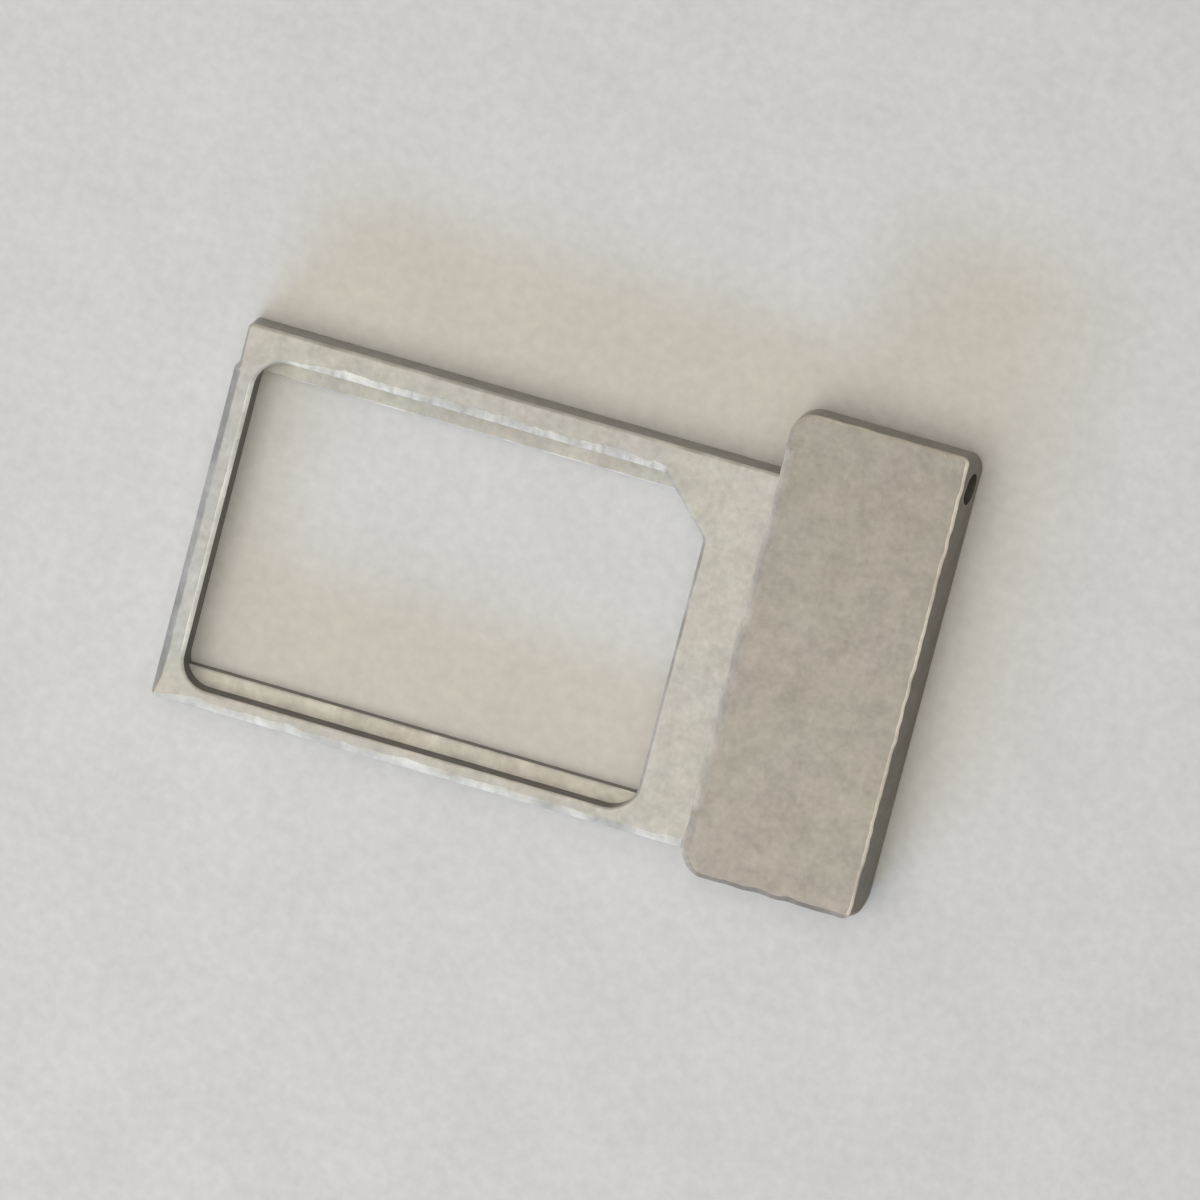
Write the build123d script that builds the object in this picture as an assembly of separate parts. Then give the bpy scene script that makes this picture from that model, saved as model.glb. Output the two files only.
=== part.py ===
from build123d import *
import os

# A card tray for a phone or tablet, milled from one piece of aluminium.
# X runs from the tip, which enters the device first, to the head that closes the slot.
# Y runs across the tray, from its near side to its far side, and Z points up.
# The origin is the middle of the underside. All sizes are in millimetres.

# Card that the tray carries, and its play in the pocket
card_length = 12.3
card_width = 8.8
card_thickness = 0.67
card_notch = 1.65
end_clearance = 0.05
side_clearance = 0.10
notch_clearance = 0.25
depth_clearance = 0.03

# Frame round the card
tip_rail = 0.62
near_rail = 0.48
far_rail = 0.78
bridge = 1.50
ledge_thickness = 0.40
near_ledge = 0.44
far_ledge = 0.50
pocket_corner_radius = 0.80
notch_corner_radius = 0.30
pocket_edge_radius = 0.14
frame_corner_radius = 0.20
frame_edge_radius = 0.16
tip_bevel = 0.20
tip_bevel_stop = 1.15
tip_corner_relief = 0.12

# Head that fills the slot's mouth
head_depth = 4.98
head_height = 1.55
near_overhang = 0.53
far_overhang = 1.90
face_rake = 0.22
head_inner_radius = 0.70
head_outer_radius = 0.22
head_end_radius = 0.75
head_bevel = 0.12
inner_slope_width = 0.27
inner_slope_depth = 0.40
inner_slope_stop = 1.06
pin_hole_diameter = 0.85

# Lower edges of the frame and the head
foot_radius = 0.10

# Sizes that follow from the card
pocket_length = card_length + 2 * end_clearance
pocket_width = card_width + 2 * side_clearance
pocket_notch = card_notch - notch_clearance
pocket_depth = card_thickness + depth_clearance
frame_thickness = ledge_thickness + pocket_depth
frame_width = near_rail + pocket_width + far_rail

# What the round foot takes off the raked face's reach
face_slope = face_rake / head_height
foot_setback = foot_radius * (face_slope + (1 + face_slope ** 2) ** 0.5 - 1)

# Places along X
overall_length = tip_rail + pocket_length + bridge + head_depth - foot_setback
tip_x = -overall_length / 2
pocket_tip_x = tip_x + tip_rail
pocket_head_x = pocket_tip_x + pocket_length
head_inner_x = pocket_head_x + bridge
head_middle_x = head_inner_x + head_depth / 2
head_outer_x = head_inner_x + head_depth

# Places along Y
head_width = near_overhang + frame_width + far_overhang
head_near_y = -head_width / 2
head_far_y = head_width / 2
frame_near_y = head_near_y + near_overhang
frame_far_y = head_far_y - far_overhang
pocket_near_y = frame_near_y + near_rail
pocket_far_y = frame_far_y - far_rail


def rectangle_between(low, high):
    """A rectangle on the working plane, given by two opposite corners."""
    return Polygon(low, (high[0], low[1]), high, (low[0], high[1]), align=None)


def pocket_outline():
    """The card's outline with its play: three round corners, and the notch that sets which way it goes in."""
    notched_corner = (pocket_head_x, pocket_far_y)
    outline = Polygon(
        (pocket_tip_x, pocket_near_y),
        (pocket_head_x, pocket_near_y),
        (pocket_head_x, pocket_far_y - pocket_notch),
        (pocket_head_x - pocket_notch, pocket_far_y),
        (pocket_tip_x, pocket_far_y),
        align=None,
    )
    square_corners = outline.vertices().sort_by_distance(notched_corner)[2:]
    outline = fillet(square_corners, pocket_corner_radius)
    notch_ends = outline.vertices().sort_by_distance(notched_corner)[:2]
    return fillet(notch_ends, notch_corner_radius)


def frame_blank():
    """The frame's plate, rounded at its tip corners and along its outer edges. Its root is inside the head."""
    plate = extrude(rectangle_between((tip_x, frame_near_y), (head_middle_x, frame_far_y)), frame_thickness)
    tip_corners = plate.edges().filter_by(Axis.Z).group_by(Axis.X)[0]
    plate = fillet(tip_corners, frame_corner_radius)
    lower_edges = plate.edges().group_by(Axis.Z)[0].sort_by(Axis.X)[:-1]
    plate = fillet(lower_edges, foot_radius)
    upper_edges = plate.edges().group_by(Axis.Z)[-1].sort_by(Axis.X)[:-1]
    return fillet(upper_edges, frame_edge_radius)


def tip_lead_in():
    """What is milled off the tip: a bevel on its upper edge, and past the bevel's end the whole far corner."""
    bevel_far_y = frame_far_y - tip_bevel_stop
    profile = Polygon(
        (tip_x, frame_thickness),
        (tip_x + tip_bevel, frame_thickness),
        (tip_x, frame_thickness - tip_bevel),
        align=None,
    )
    bevel = extrude(Plane.XZ.offset(-bevel_far_y) * profile, bevel_far_y - frame_near_y)
    far_corner = rectangle_between((tip_x, bevel_far_y), (tip_x + tip_corner_relief, frame_far_y))
    return bevel + extrude(far_corner, frame_thickness)


def frame():
    """The open frame: the card's pocket, with a ledge along each long side and an open window between them."""
    outline = pocket_outline()
    window_strip = rectangle_between(
        (pocket_tip_x, pocket_near_y + near_ledge), (pocket_head_x, pocket_far_y - far_ledge)
    )
    pocket = Pos(Z=ledge_thickness) * extrude(outline, pocket_depth)
    window = extrude(outline & window_strip, ledge_thickness)
    body = frame_blank() - tip_lead_in() - pocket - window
    mouth = body.faces().sort_by(Axis.Z)[-1].inner_wires()[0]
    return fillet(mouth.edges(), pocket_edge_radius)


def head():
    """The head: a block with a raked outer face, round corners, bevelled upper edges and round lower ends."""
    side_view = Polygon(
        (head_inner_x, 0),
        (head_outer_x, 0),
        (head_outer_x - face_rake, head_height),
        (head_inner_x, head_height),
        align=None,
    )
    block = extrude(Plane.XZ * side_view, head_width / 2, both=True)
    corner_edges = block.edges().filter_by(Axis.Y, reverse=True).filter_by(Axis.X, reverse=True)
    block = fillet(corner_edges.group_by(Axis.X)[0], head_inner_radius)
    outer_edges = block.faces().sort_by(Axis.X)[-1].edges().filter_by(Axis.Y, reverse=True)
    block = fillet(outer_edges, head_outer_radius)
    block = fillet(block.edges().group_by(Axis.Z)[0], foot_radius)
    block = chamfer(block.faces().sort_by(Axis.Z)[-1].edges(), head_bevel)

    end_view = rectangle_between((head_near_y, 0), (head_far_y, head_height))
    end_view = fillet(end_view.vertices().group_by(Axis.Y)[0], head_end_radius)
    block &= extrude(Plane.YZ.offset(head_inner_x) * end_view, head_depth)
    return block - inner_slope() - pin_hole()


def inner_slope():
    """What is milled off the head's upper edge towards the frame. It stops short of the far corner."""
    profile = Polygon(
        (head_inner_x, head_height),
        (head_inner_x + inner_slope_width, head_height),
        (head_inner_x, head_height - inner_slope_depth),
        align=None,
    )
    slope_far_y = head_far_y - inner_slope_stop
    return extrude(Plane.XZ.offset(-slope_far_y) * profile, slope_far_y - head_near_y)


def pin_hole():
    """The hole for the eject pin, in the middle of the head's far overhang."""
    middle = ((frame_far_y + head_far_y) / 2, head_height / 2)
    return extrude(Plane.YZ.offset(head_inner_x) * Pos(*middle) * Circle(pin_hole_diameter / 2), head_depth)


os.makedirs("parts", exist_ok=True)
export_step(frame() + head(), "parts/sim_tray.step")
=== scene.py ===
import math

import bmesh
import bpy
from mathutils import Matrix, Vector, geometry, noise


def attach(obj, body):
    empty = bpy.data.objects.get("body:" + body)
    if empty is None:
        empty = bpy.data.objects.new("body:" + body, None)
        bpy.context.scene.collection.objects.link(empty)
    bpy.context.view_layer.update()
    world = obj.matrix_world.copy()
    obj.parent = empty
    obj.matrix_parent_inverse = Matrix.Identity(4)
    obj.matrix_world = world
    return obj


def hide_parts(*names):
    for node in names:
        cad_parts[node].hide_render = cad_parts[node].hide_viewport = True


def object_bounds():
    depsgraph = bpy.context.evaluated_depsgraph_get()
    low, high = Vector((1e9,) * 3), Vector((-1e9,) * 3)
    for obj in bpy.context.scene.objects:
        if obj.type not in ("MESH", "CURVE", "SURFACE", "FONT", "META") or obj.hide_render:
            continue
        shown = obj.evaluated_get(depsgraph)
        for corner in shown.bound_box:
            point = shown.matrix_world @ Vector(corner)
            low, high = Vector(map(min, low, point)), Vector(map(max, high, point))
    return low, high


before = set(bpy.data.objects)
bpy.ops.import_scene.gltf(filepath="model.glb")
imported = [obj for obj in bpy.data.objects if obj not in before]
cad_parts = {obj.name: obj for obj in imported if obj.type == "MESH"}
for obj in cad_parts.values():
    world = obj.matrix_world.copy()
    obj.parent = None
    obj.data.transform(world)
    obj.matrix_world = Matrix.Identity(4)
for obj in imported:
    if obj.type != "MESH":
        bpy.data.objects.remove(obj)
cad_low, cad_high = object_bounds()

# A card tray milled from one piece of aluminium, lying on pale paper.
# X runs from the tip to the head, Y from the near side to the far side, and Z up. Sizes are in metres.
MM = 0.001

# Frame round the card, as in the solid
tip_rail = 0.62 * MM
near_rail = 0.48 * MM
pocket_length = 12.40 * MM
pocket_width = 9.00 * MM
pocket_depth = 0.70 * MM
pocket_notch = 1.40 * MM
pocket_corner_radius = 0.80 * MM
notch_corner_radius = 0.30 * MM
ledge_thickness = 0.40 * MM
near_ledge = 0.44 * MM
far_ledge = 0.50 * MM
bridge = 1.50 * MM
frame_corner_radius = 0.14 * MM
frame_root_radius = 0.60 * MM
tip_bevel_stop = 1.15 * MM
tip_bevel_ease = 0.12 * MM
tip_corner_relief = 0.12 * MM
tip_relief_reach = 2.00 * MM

# Head that fills the slot's mouth, as in the solid
near_overhang = 0.53 * MM
far_overhang = 1.90 * MM
face_rake = 0.22 * MM
head_inner_radius = 0.70 * MM
head_outer_radius = 0.22 * MM
head_end_radius = 0.75 * MM
head_end_reach = 1.00 * MM
pin_hole_radius = 0.425 * MM
cutter_margin = 1.00 * MM
inner_slope_stop = 1.06 * MM
foot_radius = 0.10 * MM

# How wide and how deep use has broken each upper edge, on the sides to the tip, the head, near and far
frame_edge_width = {"tip": 0.20 * MM, "head": 0.10 * MM, "near": 0.22 * MM, "far": 0.07 * MM}
frame_edge_depth = {"tip": 0.20 * MM, "head": 0.10 * MM, "near": 0.11 * MM, "far": 0.07 * MM}
pocket_edge_width = {"tip": 0.12 * MM, "head": 0.09 * MM, "near": 0.05 * MM, "far": 0.25 * MM}
pocket_edge_depth = {"tip": 0.08 * MM, "head": 0.08 * MM, "near": 0.06 * MM, "far": 0.11 * MM}
head_edge_width = {"tip": 0.27 * MM, "head": 0.10 * MM, "near": 0.15 * MM, "far": 0.07 * MM}
head_edge_depth = {"tip": 0.40 * MM, "head": 0.05 * MM, "near": 0.09 * MM, "far": 0.05 * MM}
ledge_edge_radius = 0.04 * MM

# Where less of an edge is broken: the frame's far corner at the tip, the far end of the head's slope, the
# pocket's far edge towards the tip, and its notch. Then the most that a round corner allows.
tip_corner_loss = 0.70
slope_end_loss = 0.50
far_corner_loss = 0.70
far_edge_ease = 2.60 * MM
notch_edge_loss = 0.40
corner_share = 0.50
corner_growth = 0.20

# How ragged these edges are, and how far use has nibbled back the outline of the head's top
frame_ragged = {"tip": 1.2, "head": 1.0, "near": 1.6, "far": 1.0}
pocket_ragged = {"tip": 1.0, "head": 1.0, "near": 1.0, "far": 2.4}
head_ragged = {"tip": 1.2, "head": 1.5, "near": 1.2, "far": 1.5}
head_nibble = {"tip": 0.07 * MM, "head": 0.07 * MM, "near": 0.05 * MM, "far": 0.04 * MM}

# Fineness of the mesh
outline_step = 0.05 * MM
edge_steps = 6
foot_steps = 4
end_steps = 8
hole_sides = 64
support = 0.03 * MM
weld_distance = 0.001 * MM
sharp_angle = math.radians(32)

# Wear of the edges: how full they still are, how long its bumps are, and how much they change
frame_fullness = 1.2
head_fullness = 1.5
wear_length = 0.55 * MM
wear_share = 0.14
fine_wear_length = 0.14 * MM
fine_wear_share = 0.06
nibble_length = 0.40 * MM
patch_length = 0.80 * MM
frame_patches = 0.30
head_patches = 0.16
ledge_patches = 0.16
frame_wear, pocket_wear, head_wear, nibble_wear, patch_wear = range(1, 6)
wear_layer_gap = 7.3

# Finish of the metal: mottling in layers (bumps to a millimetre, strength), flecks, grain and drifting hue
frame_layers = ((0.8, 0.32), (2.4, 0.40), (5.5, 0.34))
head_layers = ((0.8, 0.46), (2.2, 0.42), (6.0, 0.32))
metallic = 0.50
frame_roughness = 0.55
head_roughness = 0.70
roughness_swing = 0.30
frame_flecks = 0.08
head_flecks = 0.06
fleck_per_mm = 3.0
fleck_stretch = (2.2, 0.7, 1.0)
fleck_low = 0.62
fleck_high = 0.74
fleck_detail = 1.0
grain_height = 0.012 * MM
grain_strength = 0.5
hue_per_mm = 0.45
hue_strength = 0.095
hue_seed = 2.0
hue_detail = 3.0
noise_roughness = 0.55

# Finish of the paper
paper_roughness = 0.9
fibres_per_mm = 3.0
fibre_detail = 4.0
fibre_shade = 0.24
fibre_height = 0.010 * MM
fibre_strength = 0.4
clouds_per_mm = 0.35
cloud_shade = 0.12
floor_reach = 1.5

# Colours, and the painted light and shade that make some surfaces lighter or darker against them
frame_colour = (0.480, 0.470, 0.438)
head_colour = (0.426, 0.399, 0.354)
paper_colour = (0.62, 0.615, 0.60)
# Painted shade on the rails' tops against the bridge, where the light falls off.
rail_painted_shade = 0.94
# Painted light and shade on the walls: walls facing the window are painted lighter, as if lit and throwing
# light back, and walls turned away are painted dark as their shade.
wall_painted_light = {"tip": 1.55, "head": 0.60, "near": 1.50, "far": 0.64}
pocket_wall_painted_light = {"tip": 1.20, "head": 0.27, "near": 1.30, "far": 0.28}
window_wall_painted_light = {"tip": 1.20, "head": 0.34, "near": 1.30, "far": 0.44}
# Painted warmth on walls facing the window, against the window's cold light.
window_side_painted_warmth = Vector((1.10, 1.00, 0.86))
tip_tint = Vector((0.97, 1.00, 1.06))
tip_tint_ease = 1.00 * MM
# Painted shade inside the pin hole.
hole_painted_shade = 0.25
# Painted light and shade on the ledges: the near ledge painted lighter, most at its root by the wall where
# shade falls, and the far one painted darker.
near_ledge_painted_light = 1.05
near_ledge_root_painted_light = 1.50
far_ledge_painted_shade = 0.94
# Painted highlights and shade on the worn edges: lighter where they would catch the window, darker on the
# head's near edge.
frame_edge_painted_light = {"tip": 0.92, "head": 1.30, "near": 1.22, "far": 1.00}
pocket_edge_painted_light = {"tip": 1.11, "head": 1.80, "near": 1.34, "far": 1.36}
head_edge_painted_light = {"tip": 1.02, "head": 1.80, "near": 0.66, "far": 1.12}
# Painted light on the foot of the head's slope, which faces away from the bright overhead light.
slope_foot_painted_light = 1.80
# Less painted highlight on the edge of the pocket's notch.
notch_highlight_dimming = 0.22
# Painted shade on the bridge along the foot of the head.
bridge_root_painted_shade = 0.96
# Painted light falloff: the head's top is painted darker towards the far side.
head_painted_falloff = 0.045

# Heights of a face's normal that part the underside, the walls, the worn edges and the flats
underside_below = -0.9
wall_below = 0.3
flat_above = 0.97

# Soft room light: where it is brightest, its colour, and its strength from the horizon up
room_axis = Vector((-0.13, 0.25, 1)).normalized()
room_colour = (0.887, 0.834, 0.74)
room_horizon = 0.24
room_zenith = 1.83
room_power = 3.0

# Soft lamp over the tray's near left, close enough for its light to fall off towards the far right
lamp_place = (-45 * MM, -40 * MM, 100 * MM)
lamp_width = 80 * MM
lamp_energy = 0.036

# Low window behind the viewer: where its light goes, its panes to each side of the middle, and their width
window_heading = math.radians(69.6)
window_elevation = math.radians(14.2)
window_panes = 2
pane_width = math.radians(7.6)
window_colour = (0.38, 0.60, 1.0)
window_energy = 2.75
gleam_colour = (0.9, 0.95, 1.0)
gleam_energy = 0.70

# Camera: what it looks at, from where, and how far the picture is turned
camera_lens = 600
camera_sensor = 36
camera_near = 0.01
camera_far = 10
picture_width = 31.12 * MM
picture_turn = math.radians(14.49)
target_x = 1.070 * MM
target_y = -0.059 * MM
to_camera = Vector((0.12, 0.22, 1)).normalized()

# Places that follow from the solid's box
tip_x = cad_low.x
pocket_tip_x = tip_x + tip_rail
pocket_head_x = pocket_tip_x + pocket_length
head_inner_x = pocket_head_x + bridge
head_outer_x = cad_high.x
head_near_y = cad_low.y
head_far_y = cad_high.y
head_height = cad_high.z
frame_near_y = head_near_y + near_overhang
frame_far_y = head_far_y - far_overhang
frame_thickness = ledge_thickness + pocket_depth
frame_root_x = (head_inner_x + head_outer_x) / 2
pocket_near_y = frame_near_y + near_rail
pocket_far_y = pocket_near_y + pocket_width
far_rail = frame_far_y - pocket_far_y
window_near_y = pocket_near_y + near_ledge
window_far_y = pocket_far_y - far_ledge
bevel_far_y = frame_far_y - tip_bevel_stop
slope_far_y = head_far_y - inner_slope_stop
pin_hole_y = (frame_far_y + head_far_y) / 2
pin_hole_z = head_height / 2

# Corners in plan, with their radius. The frame's root is inside the head, and the head's corners are round
# towards the frame and tighter on the outer face.
frame_corners = (
    (tip_x, frame_near_y, frame_corner_radius),
    (frame_root_x, frame_near_y, frame_root_radius),
    (frame_root_x, frame_far_y, frame_root_radius),
    (tip_x, frame_far_y, frame_corner_radius),
)
head_corners = (
    (head_inner_x, head_near_y, head_inner_radius),
    (head_outer_x, head_near_y, head_outer_radius),
    (head_outer_x, head_far_y, head_outer_radius),
    (head_inner_x, head_far_y, head_inner_radius),
)

# Dents and nicks along the edges: place in plan, reach and depth
frame_dents = (
    (tip_x, bevel_far_y + 0.10 * MM, 0.09 * MM, 0.08 * MM),
    (tip_x + 1.20 * MM, frame_near_y, 0.30 * MM, 0.05 * MM),
    (tip_x + 3.73 * MM, frame_near_y, 0.26 * MM, 0.05 * MM),
    (tip_x + 7.03 * MM, frame_near_y, 0.34 * MM, 0.05 * MM),
)
head_dents = (
    (head_outer_x - 0.82 * MM, head_far_y, 0.09 * MM, 0.09 * MM),
    (head_outer_x - 1.85 * MM, head_near_y, 0.20 * MM, 0.05 * MM),
    (head_outer_x - 2.60 * MM, head_near_y, 0.28 * MM, 0.03 * MM),
    (head_inner_x, head_near_y + 1.70 * MM, 0.10 * MM, 0.07 * MM),
)


def smooth_step(low, high, value):
    """0 up to low, 1 from high on, and an even S between them."""
    share = min(1.0, max(0.0, (value - low) / (high - low)))
    return share * share * (3 - 2 * share)


def wear(point, length, layer):
    """An even noise between -1 and 1, with bumps about as long as given. Each layer has its own."""
    return noise.noise(Vector((point.x / length, point.y / length, wear_layer_gap * layer)))


def worn(point, layer, ragged):
    """The share of an edge's size that is there: long uneven stretches with fine ones on top."""
    long_wear = wear_share * wear(point, wear_length, layer)
    fine_wear = fine_wear_share * wear(point, fine_wear_length, layer)
    return 1 + ragged * (long_wear + fine_wear)


def dented(point, dents):
    """How much deeper the dents make an edge at a point of its outline."""
    total = 0.0
    for x, y, reach, depth in dents:
        away = math.hypot(point.x - x, point.y - y)
        total += depth * math.exp(-(away / reach) ** 2)
    return total


def by_side(normal, sizes):
    """The size of the side that an outline faces, turning smoothly from one side to the next at a corner."""
    along = sizes["tip"] if normal.x < 0 else sizes["head"]
    across = sizes["near"] if normal.y < 0 else sizes["far"]
    return along * normal.x ** 2 + across * normal.y ** 2


# Outlines in plan

def rounded_outline(corners):
    """A closed outline, counter-clockwise, round corners (x, y, radius): arcs, and even steps between."""
    arcs = []
    for i, (x, y, radius) in enumerate(corners):
        corner = Vector((x, y))
        back = (Vector(corners[i - 1][:2]) - corner).normalized()
        ahead = (Vector(corners[(i + 1) % len(corners)][:2]) - corner).normalized()
        half_angle = back.angle(ahead) / 2
        centre = corner + (back + ahead).normalized() * (radius / math.sin(half_angle))
        turn = math.pi - 2 * half_angle
        first = math.atan2(back.x, -back.y)
        count = max(1, math.ceil(2 * turn * radius / outline_step))
        angles = [first + turn * k / count for k in range(count + 1)]
        arcs.append([centre + radius * Vector((math.cos(a), math.sin(a))) for a in angles])
    points = []
    for i, arc in enumerate(arcs):
        points += arc
        run_start, run_end = arc[-1], arcs[(i + 1) % len(arcs)][0]
        count = math.ceil((run_end - run_start).length / outline_step)
        points += [run_start.lerp(run_end, k / count) for k in range(1, count)]
    return points


def outward_normals(points):
    """The outward direction at each point of a counter-clockwise outline."""
    ahead = points[1:] + points[:1]
    behind = points[-1:] + points[:-1]
    along = [(a - b).normalized() for a, b in zip(ahead, behind)]
    return [Vector((t.y, -t.x)) for t in along]


def corner_limit(point, corners):
    """The most that an edge can be broken near round corners (x, y, radius) without crossing itself."""
    limits = []
    for x, y, radius in corners:
        away = math.hypot(point.x - x, point.y - y)
        limits.append(corner_share * radius + corner_growth * away)
    return min(limits)


def frame_outline():
    """The frame's outer outline. Its tip steps back at the far corner, where the bevel ends."""
    points = rounded_outline(frame_corners)
    for point in points:
        at_tip = 1 - smooth_step(0, tip_relief_reach, point.x - tip_x)
        point.x += tip_corner_relief * at_tip * (1 - bevel_share(point))
    return points


def bevel_share(point):
    """1 along the bevelled tip and 0 elsewhere, with an even change at the bevel's two ends."""
    stop = smooth_step(bevel_far_y - tip_bevel_ease, bevel_far_y + tip_bevel_ease, point.y)
    return 1 - stop


def pocket_outline():
    """The card's outline with its play: three round corners and the notch."""
    return rounded_outline((
        (pocket_tip_x, pocket_near_y, pocket_corner_radius),
        (pocket_head_x, pocket_near_y, pocket_corner_radius),
        (pocket_head_x, pocket_far_y - pocket_notch, notch_corner_radius),
        (pocket_head_x - pocket_notch, pocket_far_y, notch_corner_radius),
        (pocket_tip_x, pocket_far_y, pocket_corner_radius),
    ))


def aslant(normal):
    """0 where an outline runs along or across the tray, and 1 where it runs at 45 degrees."""
    return (2 * normal.x * normal.y) ** 2


def far_edge_share(point, normal):
    """How much of the pocket's worn edge is there: less at the far corner by the tip and on the notch."""
    to_corner = 1 - smooth_step(0, far_edge_ease, point.x - pocket_tip_x)
    share = 1 - far_corner_loss * to_corner * max(0.0, normal.y)
    return share * (1 - notch_edge_loss * aslant(normal))


# Rings of vertices, and the faces between them

def ring(mesh, points, heights):
    """Vertices over the points of an outline, at one height or at one height each."""
    if not isinstance(heights, list):
        heights = [heights] * len(points)
    return [mesh.verts.new((p.x, p.y, z)) for p, z in zip(points, heights)]


def band(mesh, lower, upper, closed=True):
    """Four-sided faces between two rings of equal length."""
    for i in range(len(lower) - (not closed)):
        j = (i + 1) % len(lower)
        mesh.faces.new((lower[i], lower[j], upper[j], upper[i]))


def bands(mesh, rings):
    """Faces between each ring and the next."""
    for lower, upper in zip(rings, rings[1:]):
        band(mesh, lower, upper)


def encloses(loop, point):
    """Whether a closed loop of vertices goes round a point, seen from above."""
    inside = False
    for a, b in zip([v.co for v in loop], [v.co for v in loop[1:] + loop[:1]]):
        if (a.y > point.y) != (b.y > point.y) and point.x < a.x + (b.x - a.x) * (point.y - a.y) / (b.y - a.y):
            inside = not inside
    return inside


def flat(mesh, outer, hole=()):
    """Flat faces inside the outer loop of vertices and outside the hole, worked out in millimetres."""
    vertices = [*outer, *hole]
    edges = []
    for loop in (range(len(outer)), range(len(outer), len(vertices))):
        edges += zip(loop, [*loop[1:], *loop[:1]])
    inside_edges = 1
    closeness = 1e-5
    places = [v.co.xy / MM for v in vertices]
    filled = geometry.delaunay_2d_cdt(places, edges, [], inside_edges, closeness)
    triangles, sources = filled[2], filled[3]
    for triangle in triangles:
        corners = [vertices[sources[i][0]] for i in triangle]
        centre = sum((v.co for v in corners), Vector()) / 3
        if not hole or not encloses(hole, centre):
            mesh.faces.new(corners)


def edge_rings(mesh, points, normals, top, widths, depths, fullness, side):
    """Rings that turn a wall into the flat above it, from the wall up.

    Side is -1 on an outer wall and 1 in a pocket. A fullness of 2 is a round edge, and one near 1 is a bevel
    with soft ends.
    """
    rings = [ring(mesh, points, [top - d - support for d in depths])]
    for k in range(edge_steps + 1):
        across = 1 - math.cos(math.pi / 2 * k / edge_steps) ** (2 / fullness)
        down = 1 - math.sin(math.pi / 2 * k / edge_steps) ** (2 / fullness)
        moved = [p + side * n * w * across for p, n, w in zip(points, normals, widths)]
        rings.append(ring(mesh, moved, [top - d * down for d in depths]))
    moved = [p + side * n * (w + support) for p, n, w in zip(points, normals, widths)]
    rings.append(ring(mesh, moved, top))
    return rings


def foot_inset(z):
    """How far the round lower edge of an outer wall stands back at a height."""
    rise = max(0.0, foot_radius - z)
    return foot_radius - math.sqrt(foot_radius ** 2 - rise ** 2)


def foot_levels():
    """Heights of the rings that round a lower edge, from the underside up."""
    return [foot_radius * (1 - math.cos(math.pi / 2 * k / foot_steps)) for k in range(foot_steps + 1)]


def finished(mesh, name, material):
    """A new object from the mesh, of one material, with its faces turned outwards."""
    bmesh.ops.recalc_face_normals(mesh, faces=mesh.faces)
    data = bpy.data.meshes.new(name)
    mesh.to_mesh(data)
    mesh.free()
    data.materials.append(material)
    piece = bpy.data.objects.new(name, data)
    bpy.context.scene.collection.objects.link(piece)
    return piece


# The frame

def frame_solid(material):
    """The open frame: outer wall, worn upper edges, the card's pocket, its two ledges and the window."""
    mesh = bmesh.new()
    outer = frame_outline()
    outer_normals = outward_normals(outer)
    widths = []
    depths = []
    for p, n in zip(outer, outer_normals):
        past_bevel = max(0.0, -n.x) * (1 - bevel_share(p))
        kept = worn(p, frame_wear, by_side(n, frame_ragged)) * (1 - tip_corner_loss * past_bevel)
        width = kept * by_side(n, frame_edge_width) + dented(p, frame_dents)
        widths.append(min(width, corner_limit(p, frame_corners)))
        depths.append(kept * by_side(n, frame_edge_depth) + dented(p, frame_dents))
    outer_rings = edge_rings(mesh, outer, outer_normals, frame_thickness, widths, depths, frame_fullness, -1)
    foot_rings = []
    for z in foot_levels():
        foot_rings.append(ring(mesh, [p - n * foot_inset(z) for p, n in zip(outer, outer_normals)], z))
    bands(mesh, foot_rings + outer_rings)

    inner = pocket_outline()
    inner_normals = outward_normals(inner)
    widths = []
    depths = []
    for p, n in zip(inner, inner_normals):
        kept = worn(p, pocket_wear, by_side(n, pocket_ragged)) * far_edge_share(p, n)
        widths.append(kept * by_side(n, pocket_edge_width))
        depths.append(kept * by_side(n, pocket_edge_depth))
    inner_rings = edge_rings(mesh, inner, inner_normals, frame_thickness, widths, depths, frame_fullness, 1)
    seat = ring(mesh, inner, ledge_thickness)
    bands(mesh, [seat] + inner_rings)
    flat(mesh, outer_rings[-1], inner_rings[-1])

    flat(mesh, foot_rings[0], window(mesh, inner, seat))
    return finished(mesh, "tray", material)


def places_between(first, last, count):
    """The places in a closed ring from the first to the last, going on past the ring's end."""
    return [(first + k) % count for k in range((last - first) % count + 1)]


def window(mesh, inner, seat):
    """The two ledges and the window's wall below the seat. Gives the window's loop on the underside."""
    count = len(inner)
    in_window = [window_near_y < p.y < window_far_y for p in inner]
    firsts = [i for i in range(count) if in_window[i] and not in_window[i - 1]]
    lasts = [i - 1 for i in range(count) if in_window[i - 1] and not in_window[i]]
    top = []
    rim = []
    for first, next_first in (firsts, firsts[::-1]):
        last = min(lasts, key=lambda place: (place - first) % count)
        side = places_between(first, last, count)
        run_start, run_end = inner[last], inner[next_first]
        steps = math.ceil((run_end - run_start).length / outline_step)
        edge = [run_start.lerp(run_end, k / steps) for k in range(1, steps)]
        along = (run_end - run_start).normalized()
        towards_wall = Vector((along.y, -along.x))
        ledge_edge = ring(mesh, [p + towards_wall * ledge_edge_radius for p in edge], ledge_thickness)
        ledge_root = [seat[i] for i in places_between(last, next_first, count)]
        flat(mesh, ledge_root + ledge_edge[::-1])
        top += [seat[i] for i in side] + ledge_edge
        rim += [inner[i] for i in side] + edge
    rim_ring = ring(mesh, rim, ledge_thickness - ledge_edge_radius)
    bottom_ring = ring(mesh, rim, 0.0)
    bands(mesh, [top, rim_ring, bottom_ring])
    return bottom_ring


# The head

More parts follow.
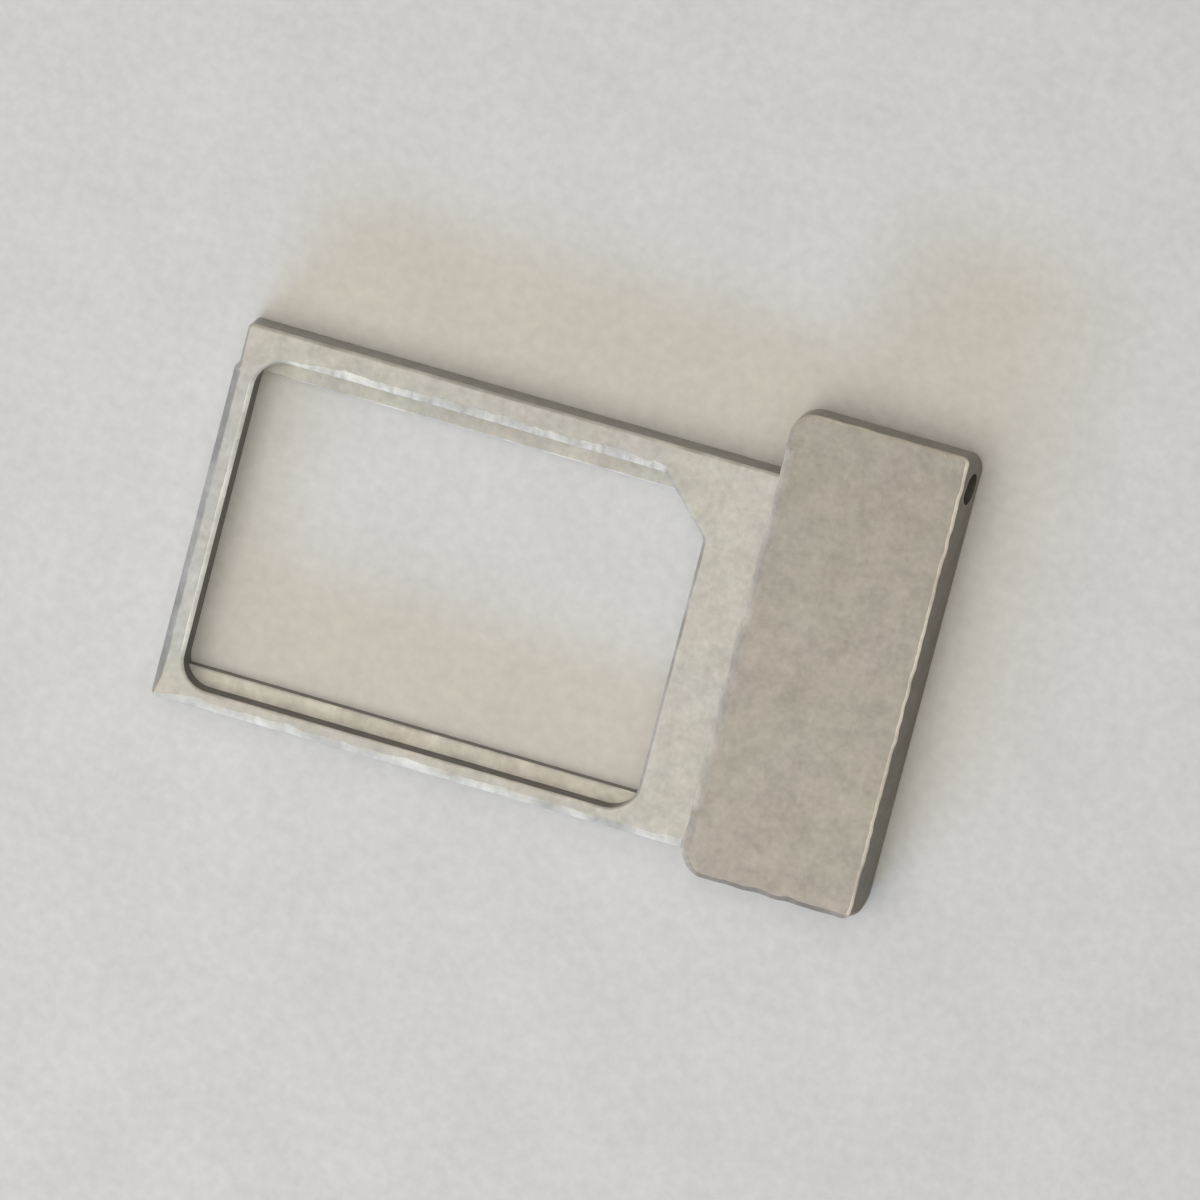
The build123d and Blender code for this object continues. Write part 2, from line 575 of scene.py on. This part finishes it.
def head_level(points, z):
    """The head's plan at a height: the outer face leans in, the foot is round, most at the ends."""
    rise = max(0.0, head_end_radius - z)
    tuck = head_end_radius - math.sqrt(head_end_radius ** 2 - rise ** 2)
    level = []
    for p in (p - n * foot_inset(z) for p, n in zip(points, outward_normals(points))):
        lean = smooth_step(head_inner_x + head_inner_radius, head_outer_x - head_outer_radius, p.x)
        x = p.x - face_rake * z / head_height * lean
        to_end = max(0.0, 1 - min(head_far_y - p.y, p.y - head_near_y) / head_end_reach)
        level.append(Vector((x, p.y - math.copysign(tuck * to_end, p.y))))
    return level


def nibbled(point, normal):
    """A point of the head's top outline, moved in where use has nibbled it, most of all at the ends."""
    share = (normal.y ** 2 + wear(point, nibble_length, nibble_wear)) / 2
    return point - normal * by_side(normal, head_nibble) * share


def head_solid(material):
    """The head: a block with worn bevels round its top and round lower ends."""
    mesh = bmesh.new()
    plan = rounded_outline(head_corners)
    top = head_level(plan, head_height)
    normals = outward_normals(top)
    top = [nibbled(p, n) for p, n in zip(top, normals)]
    widths = []
    depths = []
    for p, n in zip(top, normals):
        past_slope = max(0.0, -n.x) * smooth_step(slope_far_y - support, slope_far_y + support, p.y)
        kept = worn(p, head_wear, by_side(n, head_ragged)) * (1 - slope_end_loss * past_slope)
        width = kept * by_side(n, head_edge_width) + dented(p, head_dents)
        widths.append(min(width, corner_limit(p, head_corners)))
        depths.append(kept * by_side(n, head_edge_depth) + dented(p, head_dents))
    upper = edge_rings(mesh, top, normals, head_height, widths, depths, head_fullness, -1)
    end_levels = [head_end_radius * (1 - math.cos(math.pi / 2 * k / end_steps)) for k in range(end_steps + 1)]
    levels = foot_levels() + [z for z in end_levels if z > foot_radius]
    lower = [ring(mesh, head_level(plan, z), z) for z in levels]
    bands(mesh, lower + upper)
    flat(mesh, lower[0])
    flat(mesh, upper[-1])
    return finished(mesh, "head", material)


def pin_hole(material):
    """The cutter for the eject pin's hole: a rod along X, right through the head."""
    mesh = bmesh.new()
    turns = [2 * math.pi * k / hole_sides for k in range(hole_sides)]
    rings = []
    for x in (head_inner_x - cutter_margin, head_outer_x + cutter_margin):
        end_ring = []
        for turn in turns:
            y = pin_hole_y + pin_hole_radius * math.cos(turn)
            z = pin_hole_z + pin_hole_radius * math.sin(turn)
            end_ring.append(mesh.verts.new((x, y, z)))
        rings.append(end_ring)
    bands(mesh, rings)
    for end_ring in rings:
        mesh.faces.new(end_ring)
    return finished(mesh, "pin_hole", material)


def combine(piece, other, operation):
    """Joins the other solid to the piece, or cuts it out, in clean triangles, and removes the other."""
    modifier = piece.modifiers.new(operation, "BOOLEAN")
    modifier.operation = operation
    modifier.object = other
    modifier.solver = "EXACT"
    modifier.material_mode = "TRANSFER"
    shaped = bpy.data.meshes.new_from_object(piece.evaluated_get(bpy.context.evaluated_depsgraph_get()))
    mesh = bmesh.new()
    mesh.from_mesh(shaped)
    bmesh.ops.remove_doubles(mesh, verts=mesh.verts, dist=weld_distance)
    bmesh.ops.triangulate(mesh, faces=mesh.faces, ngon_method="BEAUTY")
    bmesh.ops.dissolve_degenerate(mesh, edges=mesh.edges, dist=weld_distance)
    mesh.to_mesh(shaped)
    mesh.free()
    piece.modifiers.clear()
    piece.data = shaped
    bpy.data.objects.remove(other)


# Materials

def add_node(tree, kind, inputs, **settings):
    """A new node. Each of its named inputs takes a value, or a link from another node's output."""
    made = tree.nodes.new(kind)
    for name, value in settings.items():
        setattr(made, name, value)
    for name, value in inputs.items():
        if isinstance(value, bpy.types.NodeSocket):
            tree.links.new(value, made.inputs[name])
        else:
            made.inputs[name].default_value = value
    return made


def vector_math(tree, operation, inputs):
    """The output of a new vector math node."""
    return add_node(tree, "ShaderNodeVectorMath", inputs, operation=operation).outputs["Vector"]


def new_material(name):
    """A node material, its principled shader, and the place on the object in millimetres."""
    material = bpy.data.materials.new(name)
    material.use_nodes = True
    tree = material.node_tree
    place = add_node(tree, "ShaderNodeTexCoord", {}).outputs["Object"]
    place = vector_math(tree, "SCALE", {0: place, "Scale": 1 / MM})
    return material, tree, tree.nodes["Principled BSDF"], place


def clouds(tree, place, per_mm, detail=2.0, stretch=(1, 1, 1)):
    """Even noise from 0 to 1, with so many bumps to a millimetre."""
    scaled = vector_math(tree, "MULTIPLY", {0: place, 1: stretch})
    inputs = {"Vector": scaled, "Scale": per_mm, "Detail": detail, "Roughness": noise_roughness}
    return add_node(tree, "ShaderNodeTexNoise", inputs).outputs["Fac"]


def hue_patches(tree, place):
    """A tint near white that drifts in broad patches, each colour by itself."""
    inputs = {"Vector": place, "Scale": hue_per_mm, "Detail": hue_detail, "Roughness": noise_roughness}
    made = add_node(tree, "ShaderNodeTexNoise", inputs, noise_dimensions="4D")
    made.inputs["W"].default_value = hue_seed
    inputs = {0: made.outputs["Color"], 1: (hue_strength,) * 3, 2: (1 - hue_strength / 2,) * 3}
    return vector_math(tree, "MULTIPLY_ADD", inputs)


def layered(tree, start, *layers):
    """A start value with each layer (noise, strength) added to it, as much up as down."""
    total = start - sum(strength for noise_output, strength in layers) / 2
    for noise_output, strength in layers:
        inputs = {0: noise_output, 1: strength, 2: total}
        total = add_node(tree, "ShaderNodeMath", inputs, operation="MULTIPLY_ADD").outputs["Value"]
    return total


def aluminium(name, colour, roughness, layers, flecks):
    """Bare aluminium, with painted light and shade from the mesh, mottled by layers, lightly flecked and
    drifting in hue.
    """
    material, tree, shader, place = new_material(name)
    mottling = [(clouds(tree, place, per_mm), strength) for per_mm, strength in layers]
    shade = layered(tree, 1.0, *mottling)
    marks = clouds(tree, place, fleck_per_mm, fleck_detail, fleck_stretch)
    inputs = {"Value": marks, "From Min": fleck_low, "From Max": fleck_high, "To Max": flecks}
    marks = add_node(tree, "ShaderNodeMapRange", inputs).outputs["Result"]
    shade = add_node(tree, "ShaderNodeMath", {0: shade, 1: marks}).outputs["Value"]
    # The mesh's painted light and shade, with wear patches, lightens or darkens the colour.
    painted_light_and_wear = add_node(tree, "ShaderNodeAttribute", {}, attribute_name="painted_light_and_wear").outputs["Vector"]
    tinted = vector_math(tree, "MULTIPLY", {0: painted_light_and_wear, 1: colour})
    tinted = vector_math(tree, "MULTIPLY", {0: tinted, 1: hue_patches(tree, place)})
    tinted = vector_math(tree, "SCALE", {0: tinted, "Scale": shade})
    tree.links.new(tinted, shader.inputs["Base Color"])
    tree.links.new(layered(tree, roughness, (mottling[0][0], roughness_swing)), shader.inputs["Roughness"])
    inputs = {"Height": mottling[-1][0], "Strength": grain_strength, "Distance": grain_height}
    bump = add_node(tree, "ShaderNodeBump", inputs)
    tree.links.new(bump.outputs["Normal"], shader.inputs["Normal"])
    shader.inputs["Metallic"].default_value = metallic
    return material


def paper():
    """White paper, with the faint cloudiness of its fibres."""
    material, tree, shader, place = new_material("paper")
    fibres = clouds(tree, place, fibres_per_mm, fibre_detail)
    clouded = clouds(tree, place, clouds_per_mm)
    shade = layered(tree, 1.0, (fibres, fibre_shade), (clouded, cloud_shade))
    tinted = vector_math(tree, "SCALE", {0: paper_colour, "Scale": shade})
    tree.links.new(tinted, shader.inputs["Base Color"])
    inputs = {"Height": fibres, "Strength": fibre_strength, "Distance": fibre_height}
    bump = add_node(tree, "ShaderNodeBump", inputs)
    tree.links.new(bump.outputs["Normal"], shader.inputs["Normal"])
    shader.inputs["Roughness"].default_value = paper_roughness
    shader.inputs["Specular IOR Level"].default_value = 0.0
    return material


def painted_light_and_wear_at(point, normal):
    """How light the metal is painted at a point, as painted light and shade with wear patches: walls, worn
    edges, ledges and flats each have their own.
    """
    on_head = point.x > head_inner_x - support
    from_hole = math.hypot(point.y - pin_hole_y, point.z - pin_hole_z)
    # Painted shade on the walls of the pin hole.
    if on_head and from_hole < pin_hole_radius + support and abs(normal.x) < wall_below:
        return hole_painted_shade
    if normal.z < underside_below:
        return 1.0
    in_pocket = not on_head and frame_near_y + near_rail / 2 < point.y < pocket_far_y + far_rail / 2
    in_pocket = in_pocket and pocket_tip_x - tip_rail / 2 < point.x < pocket_head_x + bridge / 2
    patches = wear(point, patch_length, patch_wear)
    # Walls get painted light or painted shade by the side they face.
    if normal.z < wall_below:
        inner_wall_painted_light = window_wall_painted_light if point.z < ledge_thickness - support / 2 else pocket_wall_painted_light
        return by_side(normal.xy.normalized(), inner_wall_painted_light if in_pocket else wall_painted_light)
    # Worn edges get painted highlights or painted shade by the side they face.
    if normal.z < flat_above:
        if on_head:
            below_top = max(0.0, head_height - point.z) / head_edge_depth["tip"]
            down = max(0.0, -normal.x) * math.sqrt(below_top)
            painted_light_and_wear = by_side(normal.xy.normalized(), head_edge_painted_light)
            painted_light_and_wear += (slope_foot_painted_light - head_edge_painted_light["tip"]) * down
        else:
            painted_light_and_wear = by_side(normal.xy.normalized(), pocket_edge_painted_light if in_pocket else frame_edge_painted_light)
        # Less painted highlight on the notch's edge.
        if in_pocket:
            painted_light_and_wear *= 1 - notch_highlight_dimming * aslant(normal.xy.normalized())
        return painted_light_and_wear * (1 + (head_patches if on_head else frame_patches) * patches)
    if on_head:
        # Painted shade where the bridge meets the head.
        if point.z < frame_thickness + support:
            return bridge_root_painted_shade
        # Painted light falloff across the head's top.
        return 1 - head_painted_falloff * point.y / head_far_y
    # Ledges get painted light or painted shade, with wear patches.
    if abs(point.z - ledge_thickness) < support:
        to_wall = (window_near_y - point.y) / near_ledge
        near_painted_light = near_ledge_painted_light + (near_ledge_root_painted_light - near_ledge_painted_light) * to_wall
        return (near_painted_light if point.y < 0 else far_ledge_painted_shade) * (1 + ledge_patches * patches)
    # Painted shade on the rails, easing off towards the bridge.
    return rail_painted_shade + (1 - rail_painted_shade) * smooth_step(pocket_head_x - pocket_notch, pocket_head_x, point.x)


def tip_cooling(point, normal):
    """The cooler tint of the upper side of the rail at the tip."""
    upward = smooth_step(wall_below, -underside_below, normal.z)
    at_tip = 1 - smooth_step(0, tip_tint_ease, point.x - pocket_tip_x)
    to_corner = min(point.y - pocket_near_y, pocket_far_y - point.y)
    between = smooth_step(0, tip_tint_ease, to_corner)
    return Vector((1, 1, 1)).lerp(tip_tint, upward * at_tip * between)


def store_painted_light_and_wear(piece):
    """Stores the painted light and shade of each face's corners on the mesh, with painted warmth on walls
    that look to the cold window.
    """
    painted_light_and_wear_layer = piece.data.attributes.new("painted_light_and_wear", "FLOAT_VECTOR", "CORNER")
    for polygon in piece.data.polygons:
        # Painted warmth on walls that face the cold window.
        to_window = max(0.0, -polygon.normal.y) * (1 - max(0.0, polygon.normal.z))
        painted_warmth = Vector((1, 1, 1)).lerp(window_side_painted_warmth, to_window)
        for corner in polygon.loop_indices:
            place = piece.data.vertices[piece.data.loops[corner].vertex_index].co
            painted_light_and_wear = painted_light_and_wear_at(place, polygon.normal)
            painted_light_and_wear_layer.data[corner].vector = painted_warmth * tip_cooling(place, polygon.normal) * painted_light_and_wear


# Stage

def lay_floor():
    """The sheet of pale paper that the tray lies on."""
    mesh = bmesh.new()
    bmesh.ops.create_grid(mesh, x_segments=1, y_segments=1, size=floor_reach)
    finished(mesh, "paper_floor", paper())


def set_room_light():
    """A soft light from all round, brightest overhead and a little to the far left."""
    world = bpy.data.worlds.new("room")
    bpy.context.scene.world = world
    world.use_nodes = True
    tree = world.node_tree
    direction = add_node(tree, "ShaderNodeTexCoord", {}).outputs["Generated"]
    inputs = {0: direction, 1: room_axis}
    height = add_node(tree, "ShaderNodeVectorMath", inputs, operation="DOT_PRODUCT").outputs["Value"]
    height = add_node(tree, "ShaderNodeMath", {0: height, 1: 0.0}, operation="MAXIMUM").outputs["Value"]
    height = add_node(tree, "ShaderNodeMath", {0: height, 1: room_power}, operation="POWER").outputs["Value"]
    inputs = {"Value": height, "To Min": room_horizon, "To Max": room_zenith}
    strength = add_node(tree, "ShaderNodeMapRange", inputs).outputs["Result"]
    tree.links.new(strength, tree.nodes["Background"].inputs["Strength"])
    tree.nodes["Background"].inputs["Color"].default_value = (*room_colour, 1)


def set_lamps():
    """The soft lamp, the panes of the low window, and the gleam that the metal shows of it."""
    soft_lamp = new_lamp("soft_lamp", "AREA", room_colour, lamp_energy)
    soft_lamp.data.size = lamp_width
    soft_lamp.location = lamp_place
    pane_energy = window_energy / (2 * window_panes + 1)
    for pane in range(-window_panes, window_panes + 1):
        lamp = window_lamp("window_pane", window_colour, pane_energy, pane * pane_width)
        lamp.visible_glossy = False
    gleam = window_lamp("window_gleam", gleam_colour, gleam_energy, 0.0)
    gleam.visible_diffuse = False


def new_lamp(name, kind, colour, energy):
    """A new lamp of a kind, colour and energy."""
    data = bpy.data.lights.new(name, kind)
    data.color = colour
    data.energy = energy
    lamp = bpy.data.objects.new(name, data)
    bpy.context.scene.collection.objects.link(lamp)
    return lamp


def window_lamp(name, colour, energy, swing):
    """One pane of the low window: a soft far lamp, swung to the side by an angle."""
    lamp = new_lamp(name, "SUN", colour, energy)
    lamp.data.angle = pane_width
    heading = window_heading + swing
    level = math.cos(window_elevation)
    ray = Vector((level * math.cos(heading), level * math.sin(heading), -math.sin(window_elevation)))
    lamp.rotation_mode = "QUATERNION"
    lamp.rotation_quaternion = ray.to_track_quat("-Z", "Y")
    return lamp


def set_camera():
    """A camera above the tray, a little towards its far side and its head, as the photograph sees it."""
    data = bpy.data.cameras.new("camera")
    data.lens = camera_lens
    data.sensor_width = camera_sensor
    data.clip_start = camera_near
    data.clip_end = camera_far
    distance = picture_width * camera_lens / camera_sensor
    target = Vector((target_x, target_y, frame_thickness))
    upwards = Vector((-math.sin(picture_turn), math.cos(picture_turn), 0))
    right = upwards.cross(to_camera).normalized()
    turned = Matrix((right, to_camera.cross(right), to_camera)).transposed()
    camera = bpy.data.objects.new("camera", data)
    camera.matrix_world = Matrix.Translation(target + to_camera * distance) @ turned.to_4x4()
    bpy.context.scene.collection.objects.link(camera)
    bpy.context.scene.camera = camera


# The scene

milled = aluminium("milled_aluminium", frame_colour, frame_roughness, frame_layers, frame_flecks)
blasted = aluminium("blasted_aluminium", head_colour, head_roughness, head_layers, head_flecks)
tray = frame_solid(milled)
combine(tray, head_solid(blasted), "UNION")
combine(tray, pin_hole(blasted), "DIFFERENCE")
store_painted_light_and_wear(tray)
for polygon in tray.data.polygons:
    polygon.use_smooth = True
tray.data.set_sharp_from_angle(angle=sharp_angle)
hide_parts("sim_tray")
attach(tray, "root")

lay_floor()
set_room_light()
set_lamps()
set_camera()
bpy.context.scene.view_settings.view_transform = "Standard"
